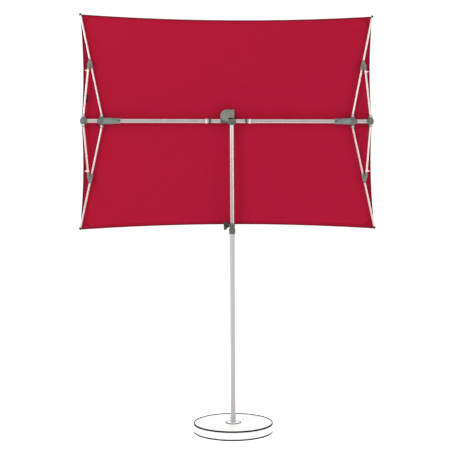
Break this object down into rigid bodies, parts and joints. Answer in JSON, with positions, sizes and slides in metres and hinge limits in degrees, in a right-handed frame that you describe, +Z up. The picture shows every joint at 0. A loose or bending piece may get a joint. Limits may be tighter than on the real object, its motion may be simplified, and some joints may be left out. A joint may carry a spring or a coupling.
{
  "type": "patio umbrella with base",
  "caption": "Rectangular red balcony parasol on a two-part pole in a round weighted base, roof tilted upright, with sliding runners, ribs and struts.",
  "frame": {"origin": "middle of the base's underside, on the pole's axis", "axes": "+Z up along the pole, +Y behind the upright roof, +X to the right as seen from the pole side"},
  "size_m": [2.1532, 0.566, 3.0161],
  "materials": {
    "base_stone": "matte",
    "dark_rubber": "matte",
    "dark_plastic": "satin",
    "grey_plastic": "satin",
    "grip_plastic": "satin",
    "pale_plastic": "satin",
    "aluminium_tube": "satin",
    "steel": "satin",
    "roof_fabric": "matte",
    "webbing": "matte"
  },
  "bodies": {
    "base": {"base_pad": "dark_rubber", "base_slab": "base_stone", "base_rim": "dark_plastic", "socket_tube": "base_stone", "socket_ring": "dark_plastic"},
    "pole": {"pole_lower": "aluminium_tube", "pole_foot_plug": "dark_plastic", "pole_bush": "dark_plastic", "clamp_collar": "grey_plastic", "clamp_rivet": "steel"},
    "knob": {"clamp_knob": "dark_plastic", "clamp_screw": "steel"},
    "mast": {"mast_upper": "aluminium_tube", "mast_guide": "dark_plastic", "pole_head": "grey_plastic"},
    "head": {"hub_front": "grey_plastic", "hub_back": "grey_plastic", "hub_screws": "steel", "spine_tube": "aluminium_tube", "spine_collars": "dark_plastic", "stop_rings": "pale_plastic", "end_caps": "dark_plastic", "strut_pins": "steel", "end_hub_left": "grey_plastic", "end_hub_right": "grey_plastic", "canopy": "roof_fabric"},
    "tilt_button": {"tilt_button": "dark_plastic"},
    "runner_left": {"runner_left": "grey_plastic", "grip_left": "grip_plastic", "rib_pins_left": "steel"},
    "release_button_left": {"release_button_left": "dark_plastic"},
    "runner_right": {"runner_right": "grey_plastic", "grip_right": "grip_plastic", "rib_pins_right": "steel"},
    "release_button_right": {"release_button_right": "dark_plastic"},
    "rib_upper_left": {"rib_upper_left": "aluminium_tube", "yoke_upper_left": "grey_plastic", "corner_cap_upper_left": "dark_plastic"},
    "strut_upper_left": {"strut_upper_left": "aluminium_tube", "strut_tip_upper_left": "grey_plastic", "strut_hook_upper_left": "pale_plastic", "tie_strap": "webbing"},
    "rib_lower_left": {"rib_lower_left": "aluminium_tube", "yoke_lower_left": "grey_plastic", "corner_cap_lower_left": "dark_plastic"},
    "strut_lower_left": {"strut_lower_left": "aluminium_tube", "strut_tip_lower_left": "grey_plastic", "strut_hook_lower_left": "pale_plastic"},
    "rib_upper_right": {"rib_upper_right": "aluminium_tube", "yoke_upper_right": "grey_plastic", "corner_cap_upper_right": "dark_plastic"},
    "strut_upper_right": {"strut_upper_right": "aluminium_tube", "strut_tip_upper_right": "grey_plastic", "strut_hook_upper_right": "pale_plastic"},
    "rib_lower_right": {"rib_lower_right": "aluminium_tube", "yoke_lower_right": "grey_plastic", "corner_cap_lower_right": "dark_plastic"},
    "strut_lower_right": {"strut_lower_right": "aluminium_tube", "strut_tip_lower_right": "grey_plastic", "strut_hook_lower_right": "pale_plastic"}
  },
  "joints": [
    {"name": "pole_turn", "type": "hinge", "parent": "base", "child": "pole", "pos_m": [0, 0, 0.06], "axis": [0, 0, 1], "continuous": true},
    {"name": "mast_slide", "type": "slide", "parent": "pole", "child": "mast", "axis": [0, 0, 1], "range_m": [-0.6, 0.25]},
    {"name": "clamp_knob_turn", "type": "hinge", "parent": "pole", "child": "knob", "pos_m": [-0.05, 0, 1.469], "axis": [-1, 0, 0], "range_deg": [0, 360]},
    {"name": "tilt", "type": "hinge", "parent": "mast", "child": "head", "pos_m": [0, 0.025, 2.23], "axis": [1, 0, 0], "range_deg": [0, 90]},
    {"name": "tilt_button_press", "type": "slide", "parent": "head", "child": "tilt_button", "axis": [-1, 0, 0], "range_m": [0, 0.004], "stiffness_N_per_m": 600},
    {"name": "fold", "type": "slide", "parent": "head", "child": "runner_left", "axis": [1, 0, 0], "range_m": [0, 0.613]},
    {"name": "release_left", "type": "slide", "parent": "runner_left", "child": "release_button_left", "axis": [0, 1, 0], "range_m": [0, 0.003], "stiffness_N_per_m": 500},
    {"name": "fold_right", "type": "slide", "parent": "head", "child": "runner_right", "axis": [-1, 0, 0], "range_m": [0, 0.613]},
    {"name": "release_right", "type": "slide", "parent": "runner_right", "child": "release_button_right", "axis": [0, 1, 0], "range_m": [0, 0.003], "stiffness_N_per_m": 500},
    {"name": "rib_upper_left", "type": "hinge", "parent": "runner_left", "child": "rib_upper_left", "pos_m": [-0.939, 0.0335, 2.27], "axis": [0, -1, 0], "range_deg": [0, 65.48]},
    {"name": "strut_upper_left", "type": "hinge", "parent": "head", "child": "strut_upper_left", "pos_m": [-1.068, 0.0165, 2.263], "axis": [0, 1, 0], "range_deg": [0, 72.75]},
    {"name": "rib_lower_left", "type": "hinge", "parent": "runner_left", "child": "rib_lower_left", "pos_m": [-0.939, 0.0335, 2.19], "axis": [0, 1, 0], "range_deg": [0, 65.48]},
    {"name": "strut_lower_left", "type": "hinge", "parent": "head", "child": "strut_lower_left", "pos_m": [-1.068, 0.0165, 2.197], "axis": [0, -1, 0], "range_deg": [0, 72.75]},
    {"name": "rib_upper_right", "type": "hinge", "parent": "runner_right", "child": "rib_upper_right", "pos_m": [0.889, 0.0335, 2.27], "axis": [0, 1, 0], "range_deg": [0, 65.48]},
    {"name": "strut_upper_right", "type": "hinge", "parent": "head", "child": "strut_upper_right", "pos_m": [1.018, 0.0165, 2.263], "axis": [0, -1, 0], "range_deg": [0, 72.75]},
    {"name": "rib_lower_right", "type": "hinge", "parent": "runner_right", "child": "rib_lower_right", "pos_m": [0.889, 0.0335, 2.19], "axis": [0, -1, 0], "range_deg": [0, 65.48]},
    {"name": "strut_lower_right", "type": "hinge", "parent": "head", "child": "strut_lower_right", "pos_m": [1.018, 0.0165, 2.197], "axis": [0, 1, 0], "range_deg": [0, 72.75]}
  ],
  "couplings": [
    {"joint": "fold_right", "follows": "fold", "ratio": 1},
    {"joint": "rib_upper_left", "follows": "fold", "rad_per_m": 1.8642},
    {"joint": "strut_upper_left", "follows": "fold", "rad_per_m": 2.0712},
    {"joint": "rib_lower_left", "follows": "fold", "rad_per_m": 1.8642},
    {"joint": "strut_lower_left", "follows": "fold", "rad_per_m": 2.0712},
    {"joint": "rib_upper_right", "follows": "fold", "rad_per_m": 1.8642},
    {"joint": "strut_upper_right", "follows": "fold", "rad_per_m": 2.0712},
    {"joint": "rib_lower_right", "follows": "fold", "rad_per_m": 1.8642},
    {"joint": "strut_lower_right", "follows": "fold", "rad_per_m": 2.0712}
  ]
}
